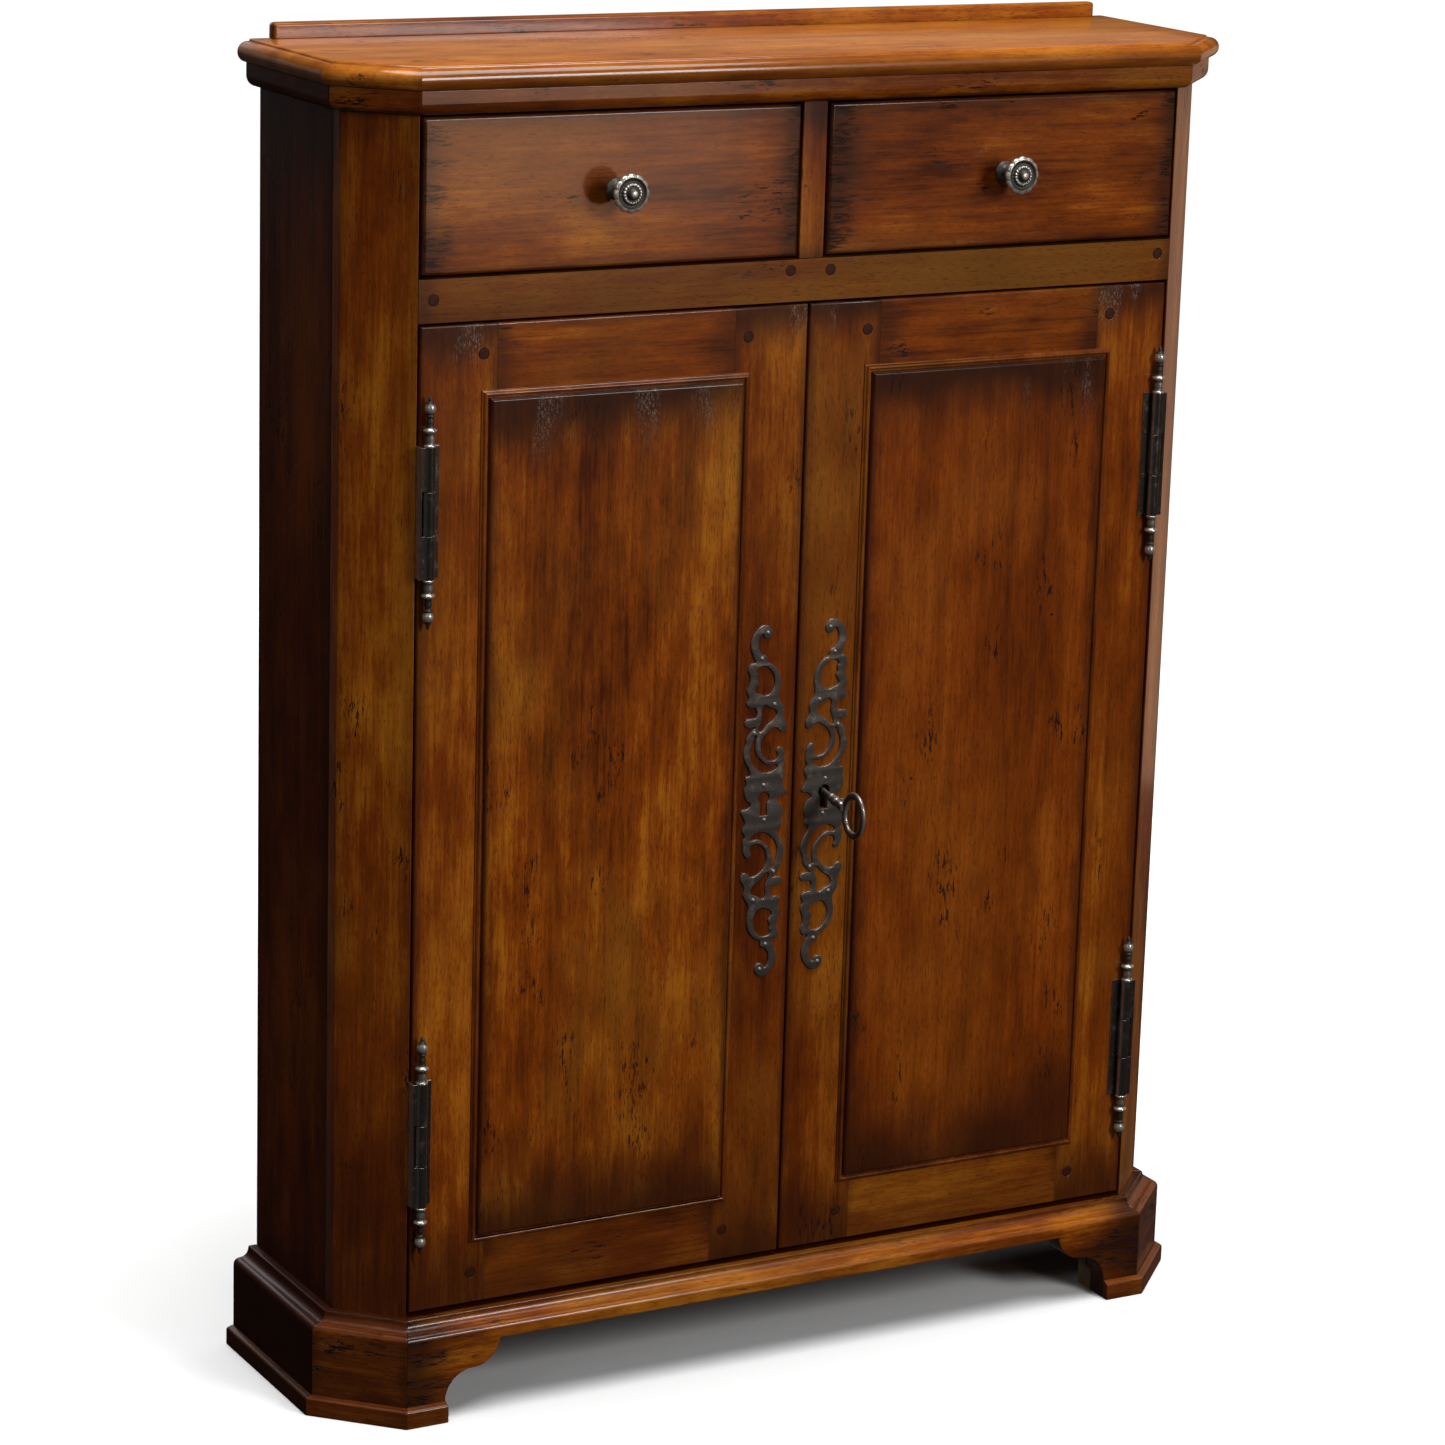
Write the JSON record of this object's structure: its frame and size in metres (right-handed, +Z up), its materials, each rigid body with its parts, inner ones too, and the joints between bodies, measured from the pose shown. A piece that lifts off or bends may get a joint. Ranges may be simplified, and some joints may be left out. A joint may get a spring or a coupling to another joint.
{
  "type": "hall cupboard",
  "caption": "Shallow two-door hall cupboard with canted front corners, drawers over panelled doors, scrolled iron key plates and bracket feet.",
  "frame": {"origin": "on the floor, at the bottom centre of the whole closed cupboard's box: midway between the sides, and midway between the key's tip and the back", "axes": "+X to the right as seen from the front, +Y from the front to the back, +Z up; the doors and drawers face -Y"},
  "size_m": [0.912, 0.295, 1.209],
  "materials": {
    "walnut": "worn satin-gloss lacquer over reddish brown walnut",
    "walnut_shade": "dark brown worn lacquer",
    "peg_wood": "dark end grain, lacquered",
    "lining_wood": "plain oiled wood, satin",
    "iron": "dark burnished iron, worn lighter on the rims",
    "nail_iron": "worn bright iron nail heads",
    "pewter": "antiqued pewter, dark in the recesses"
  },
  "bodies": {
    "case": {"left_side_panel": "walnut_shade", "right_side_panel": "walnut", "left_corner_post": "walnut", "right_corner_post": "walnut", "top_board": "walnut", "gallery_rail": "walnut", "bed_moulding": "walnut", "top_rail": "walnut", "drawer_rail": "walnut", "drawer_divider": "walnut", "rail_pegs": "peg_wood", "bottom_board": "walnut_shade", "back_panel": "walnut_shade", "shelf": "walnut_shade", "shelf_bearers": "walnut_shade", "drawer_runners": "lining_wood", "plinth_front": "walnut", "plinth_cants": "walnut", "left_plinth_side": "walnut_shade", "right_plinth_side": "walnut", "plinth_back": "walnut_shade", "shoe_strips": "walnut", "foot_blocks": "lining_wood", "frame_hinge_leaves": "iron", "hinge_pins": "iron"},
    "left_drawer": {"left_drawer_front": "walnut", "left_drawer_sides": "lining_wood", "left_drawer_back": "lining_wood", "left_drawer_bottom": "lining_wood", "left_knob": "pewter", "left_knob_screw": "iron"},
    "right_drawer": {"right_drawer_front": "walnut", "right_drawer_sides": "lining_wood", "right_drawer_back": "lining_wood", "right_drawer_bottom": "lining_wood", "right_knob": "pewter", "right_knob_screw": "iron"},
    "left_door": {"left_hinge_stile": "walnut", "left_lock_stile": "walnut", "left_door_rails": "walnut", "left_door_panel": "walnut", "left_panel_moulding": "walnut", "left_door_pegs": "peg_wood", "left_door_leaves": "iron", "left_escutcheon": "iron", "left_escutcheon_nails": "nail_iron", "door_bolt_plate": "iron"},
    "right_door": {"right_hinge_stile": "walnut", "right_lock_stile": "walnut", "right_door_rails": "walnut", "right_door_panel": "walnut", "right_panel_moulding": "walnut", "right_door_pegs": "peg_wood", "right_door_leaves": "iron", "right_escutcheon": "iron", "right_escutcheon_nails": "nail_iron", "lock_case": "iron"},
    "key": {"key": "iron"},
    "lock_bolt": {"lock_bolt": "iron"},
    "door_bolt": {"door_bolt": "iron"}
  },
  "joints": [
    {"name": "left_door_swing", "type": "hinge", "parent": "case", "child": "left_door", "pos_m": [-0.367, -0.0795, 0.537], "axis": [0, 0, -1], "range_deg": [0, 170]},
    {"name": "right_door_swing", "type": "hinge", "parent": "case", "child": "right_door", "pos_m": [0.367, -0.0795, 0.537], "axis": [0, 0, 1], "range_deg": [0, 170]},
    {"name": "left_drawer_slide", "type": "slide", "parent": "case", "child": "left_drawer", "axis": [0, -1, 0], "range_m": [0, 0.13]},
    {"name": "right_drawer_slide", "type": "slide", "parent": "case", "child": "right_drawer", "axis": [0, -1, 0], "range_m": [0, 0.13]},
    {"name": "key_turn", "type": "hinge", "parent": "right_door", "child": "key", "pos_m": [0.031, -0.0725, 0.5328], "axis": [0, -0.9848, -0.1736], "range_deg": [0, 180]},
    {"name": "lock_bolt_slide", "type": "slide", "parent": "right_door", "child": "lock_bolt", "axis": [-1, 0, 0], "range_m": [0, 0.008]},
    {"name": "door_bolt_slide", "type": "slide", "parent": "left_door", "child": "door_bolt", "axis": [0, 0, 1], "range_m": [0, 0.012]}
  ],
  "couplings": [
    {"joint": "lock_bolt_slide", "follows": "key_turn", "m_per_rad": 0.002546}
  ]
}
